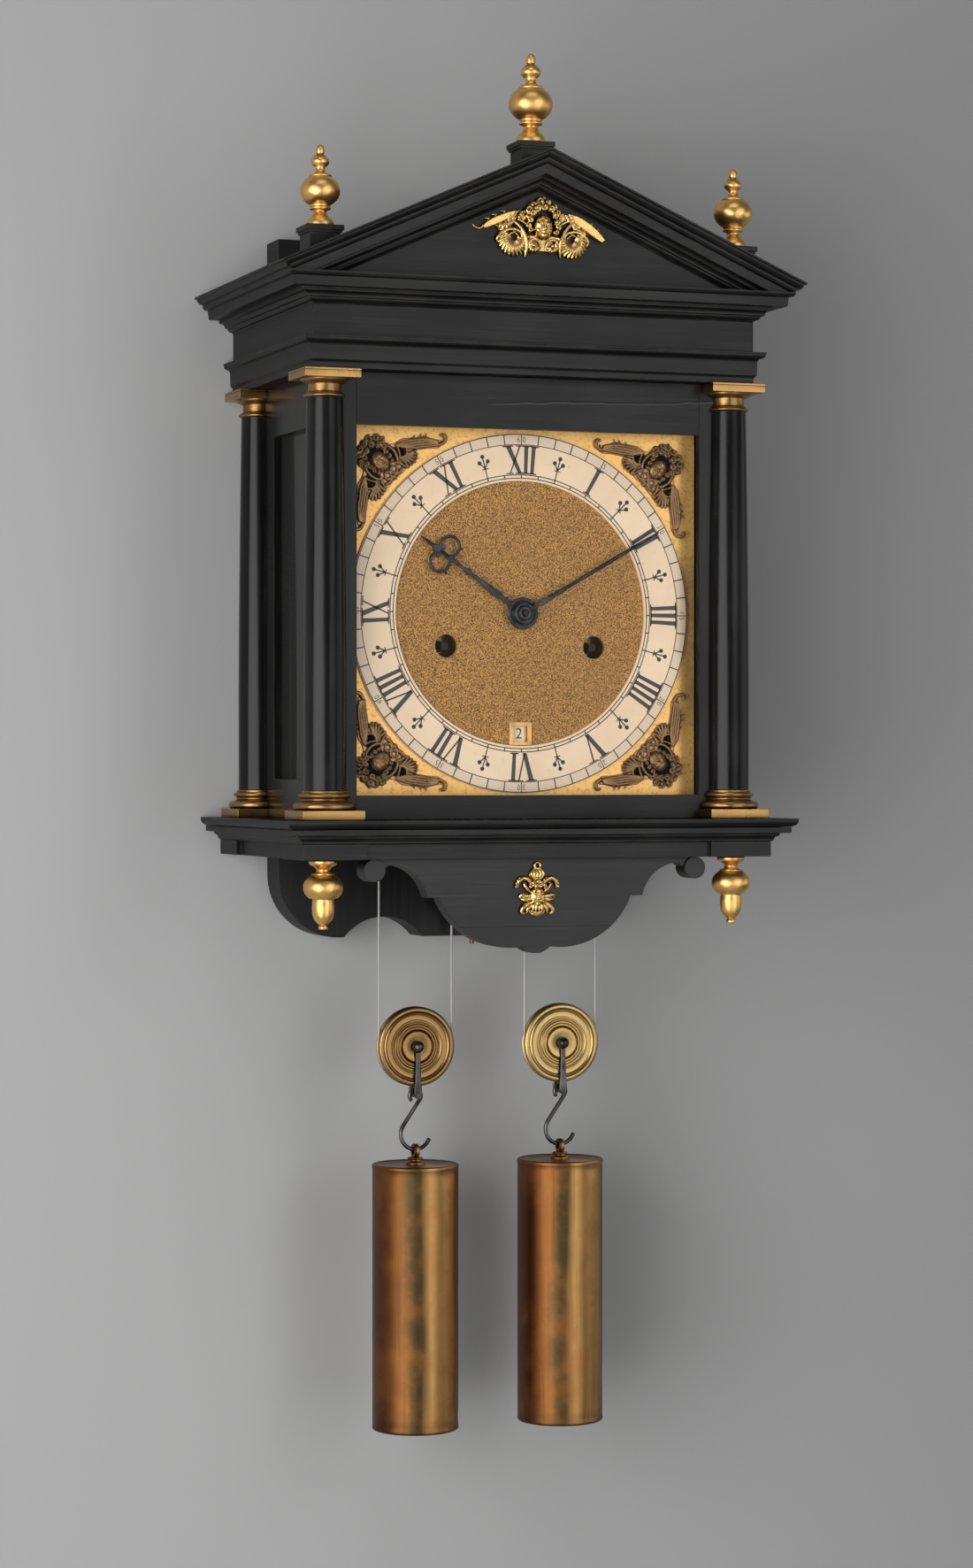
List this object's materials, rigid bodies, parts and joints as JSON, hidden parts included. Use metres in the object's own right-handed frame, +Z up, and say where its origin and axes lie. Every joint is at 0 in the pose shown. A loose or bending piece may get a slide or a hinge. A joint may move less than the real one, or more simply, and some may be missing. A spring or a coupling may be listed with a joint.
{
  "type": "hooded wall clock with calendar",
  "caption": "Hooded wall clock with a date aperture: pedimented ebonised case, gilt finials and columns, square dial, weights on pulleys, glazed door and sliding hood.",
  "frame": {"origin": "centre of the hanging hole, in the plane of the wall", "axes": "+X to the right as the dial is faced, +Y into the wall, +Z up"},
  "size_m": [0.3136, 0.1848, 0.792],
  "materials": {
    "ebonised_wood": "waxed, worn at the edges",
    "plain_wood": "dull stained",
    "gilt_mounts": "aged gilding",
    "brass": "satin",
    "silvered_brass": "toned silvering",
    "weight_brass": "polished, toned",
    "steel": "dark polished",
    "iron": "dark",
    "glass": "clear",
    "gut": "twisted gut"
  },
  "bodies": {
    "case": {"backboard": "plain_wood", "hanging_hoop": "iron", "base_frame": "ebonised_wood", "base_blocks": "ebonised_wood", "drop_pendants": "gilt_mounts", "apron": "ebonised_wood", "apron_mask": "gilt_mounts", "seat_board": "plain_wood", "front_plate": "brass", "back_plate": "brass", "plate_pillars": "brass", "dial_plate": "brass", "chapter_ring": "silvered_brass", "spandrels": "gilt_mounts", "pendulum_cock": "brass", "bell": "brass", "going_line": "gut", "strike_line": "gut"},
    "hood": {"hood_frame": "ebonised_wood", "hood_sides": "ebonised_wood", "side_windows": "glass", "architrave": "ebonised_wood", "frieze": "ebonised_wood", "cornice": "ebonised_wood", "raking_cornice": "ebonised_wood", "tympanum": "ebonised_wood", "roof_boards": "plain_wood", "finials": "gilt_mounts", "pediment_mount": "gilt_mounts", "rear_columns": "ebonised_wood"},
    "door": {"door_frame": "ebonised_wood", "door_glass": "glass", "door_pivots": "steel", "column_shafts": "ebonised_wood", "column_mounts": "gilt_mounts"},
    "centre_arbor": {"centre_wheel": "brass", "minute_hand": "steel"},
    "hour_pipe": {"hour_wheel": "brass", "hour_hand": "steel"},
    "minute_arbor": {"minute_wheel": "brass"},
    "date_ring": {"calendar_ring": "brass"},
    "going_great": {"going_great_wheel": "brass"},
    "third_arbor": {"third_wheel": "brass"},
    "escape_arbor": {"escape_wheel": "brass"},
    "anchor_arbor": {"pallet_anchor": "steel"},
    "pendulum_body": {"pendulum": "brass"},
    "going_drum": {"going_barrel": "brass"},
    "strike_drum": {"strike_barrel": "brass"},
    "strike_great": {"strike_great_wheel": "brass"},
    "pin_arbor": {"pin_wheel": "brass"},
    "fly_arbor": {"fly": "steel"},
    "hammer_arbor": {"hammer": "steel"},
    "going_hanger": {"going_stirrup": "steel"},
    "going_sheave": {"going_pulley": "brass"},
    "going_link": {"going_hook": "steel"},
    "going_load": {"going_weight": "weight_brass"},
    "strike_hanger": {"strike_stirrup": "steel"},
    "strike_sheave": {"strike_pulley": "brass"},
    "strike_link": {"strike_hook": "steel"},
    "strike_load": {"strike_weight": "weight_brass"}
  },
  "joints": [
    {"name": "hood_slide", "type": "slide", "parent": "case", "child": "hood", "axis": [0, -1, 0], "range_m": [0, 0.2]},
    {"name": "door_swing", "type": "hinge", "parent": "hood", "child": "door", "pos_m": [0.131, -0.1375, -0.236], "axis": [0, 0, 1], "range_deg": [0, 95]},
    {"name": "third_turn", "type": "hinge", "parent": "case", "child": "third_arbor", "pos_m": [-0.01162, -0.09, -0.215], "axis": [0, -1, 0], "continuous": true},
    {"name": "centre_turn", "type": "hinge", "parent": "case", "child": "centre_arbor", "pos_m": [0, -0.09, -0.236], "axis": [0, 1, 0], "continuous": true},
    {"name": "hour_turn", "type": "hinge", "parent": "case", "child": "hour_pipe", "pos_m": [0, -0.09, -0.236], "axis": [0, 1, 0], "continuous": true},
    {"name": "minute_turn", "type": "hinge", "parent": "case", "child": "minute_arbor", "pos_m": [0, -0.09, -0.2576], "axis": [0, -1, 0], "continuous": true},
    {"name": "going_great_turn", "type": "hinge", "parent": "case", "child": "going_great", "pos_m": [0.0452, -0.09, -0.255], "axis": [0, -1, 0], "continuous": true},
    {"name": "escape_turn", "type": "hinge", "parent": "case", "child": "escape_arbor", "pos_m": [0, -0.09, -0.1987], "axis": [0, 1, 0], "continuous": true},
    {"name": "date_turn", "type": "hinge", "parent": "case", "child": "date_ring", "pos_m": [0, -0.09, -0.236], "axis": [0, 1, 0], "continuous": true},
    {"name": "pendulum_swing", "type": "hinge", "parent": "case", "child": "pendulum_body", "pos_m": [0, -0.05, -0.1777], "axis": [0, 1, 0], "range_deg": [-4, 4]},
    {"name": "anchor_swing", "type": "hinge", "parent": "case", "child": "anchor_arbor", "pos_m": [0, -0.09, -0.1777], "axis": [0, 1, 0], "range_deg": [-4.01, 4.01]},
    {"name": "going_drop", "type": "slide", "parent": "case", "child": "going_hanger", "axis": [0, 0, -1], "range_m": [-0.03, 1], "deforming": ["going_line"]},
    {"name": "going_barrel_turn", "type": "hinge", "parent": "case", "child": "going_drum", "pos_m": [0.0452, -0.09, -0.255], "axis": [0, -1, 0], "range_deg": [-155, 5060]},
    {"name": "going_pulley_turn", "type": "hinge", "parent": "going_hanger", "child": "going_sheave", "pos_m": [0.0449, -0.0795, -0.487], "axis": [0, -1, 0], "range_deg": [-80, 2570]},
    {"name": "going_hook_swing", "type": "hinge", "parent": "going_hanger", "child": "going_link", "pos_m": [0.0449, -0.0795, -0.5151], "axis": [0, 1, 0], "range_deg": [-10, 10]},
    {"name": "going_weight_swing", "type": "hinge", "parent": "going_link", "child": "going_load", "pos_m": [0.0449, -0.0795, -0.548], "axis": [1, 0, 0], "range_deg": [-8, 8]},
    {"name": "strike_drop", "type": "slide", "parent": "case", "child": "strike_hanger", "axis": [0, 0, -1], "range_m": [-0.03, 1], "deforming": ["strike_line"]},
    {"name": "strike_barrel_turn", "type": "hinge", "parent": "case", "child": "strike_drum", "pos_m": [-0.0452, -0.09, -0.255], "axis": [0, -1, 0], "range_deg": [-155, 5060]},
    {"name": "strike_pulley_turn", "type": "hinge", "parent": "strike_hanger", "child": "strike_sheave", "pos_m": [-0.0455, -0.0795, -0.487], "axis": [0, -1, 0], "range_deg": [-80, 2570]},
    {"name": "strike_hook_swing", "type": "hinge", "parent": "strike_hanger", "child": "strike_link", "pos_m": [-0.0455, -0.0795, -0.5151], "axis": [0, 1, 0], "range_deg": [-10, 10]},
    {"name": "strike_weight_swing", "type": "hinge", "parent": "strike_link", "child": "strike_load", "pos_m": [-0.0455, -0.0795, -0.548], "axis": [1, 0, 0], "range_deg": [-8, 8]},
    {"name": "pin_turn", "type": "hinge", "parent": "case", "child": "pin_arbor", "pos_m": [-0.05371, -0.09, -0.20671], "axis": [0, 1, 0], "continuous": true},
    {"name": "strike_great_turn", "type": "hinge", "parent": "case", "child": "strike_great", "pos_m": [-0.0452, -0.09, -0.255], "axis": [0, -1, 0], "continuous": true},
    {"name": "fly_turn", "type": "hinge", "parent": "case", "child": "fly_arbor", "pos_m": [-0.0497, -0.09, -0.18396], "axis": [0, -1, 0], "continuous": true},
    {"name": "hammer_lift", "type": "hinge", "parent": "case", "child": "hammer_arbor", "pos_m": [-0.08001, -0.09, -0.19601], "axis": [0, -1, 0], "range_deg": [0, 10], "stiffness_Nm_per_rad": 0.02, "springref_deg": -5.73}
  ],
  "couplings": [
    {"joint": "centre_turn", "follows": "third_turn", "ratio": 0.11111},
    {"joint": "hour_turn", "follows": "third_turn", "ratio": 0.0092593},
    {"joint": "minute_turn", "follows": "third_turn", "ratio": 0.11111},
    {"joint": "going_great_turn", "follows": "third_turn", "ratio": 0.0092593},
    {"joint": "escape_turn", "follows": "third_turn", "ratio": 10},
    {"joint": "date_turn", "follows": "third_turn", "ratio": 0.00014934},
    {"joint": "anchor_swing", "follows": "pendulum_swing", "ratio": 1},
    {"joint": "going_barrel_turn", "follows": "going_drop", "rad_per_m": 88.106},
    {"joint": "going_pulley_turn", "follows": "going_drop", "rad_per_m": 44.643},
    {"joint": "strike_barrel_turn", "follows": "strike_drop", "rad_per_m": 88.106},
    {"joint": "strike_pulley_turn", "follows": "strike_drop", "rad_per_m": 44.643},
    {"joint": "strike_great_turn", "follows": "pin_turn", "ratio": 0.083333},
    {"joint": "fly_turn", "follows": "pin_turn", "ratio": 10}
  ]
}
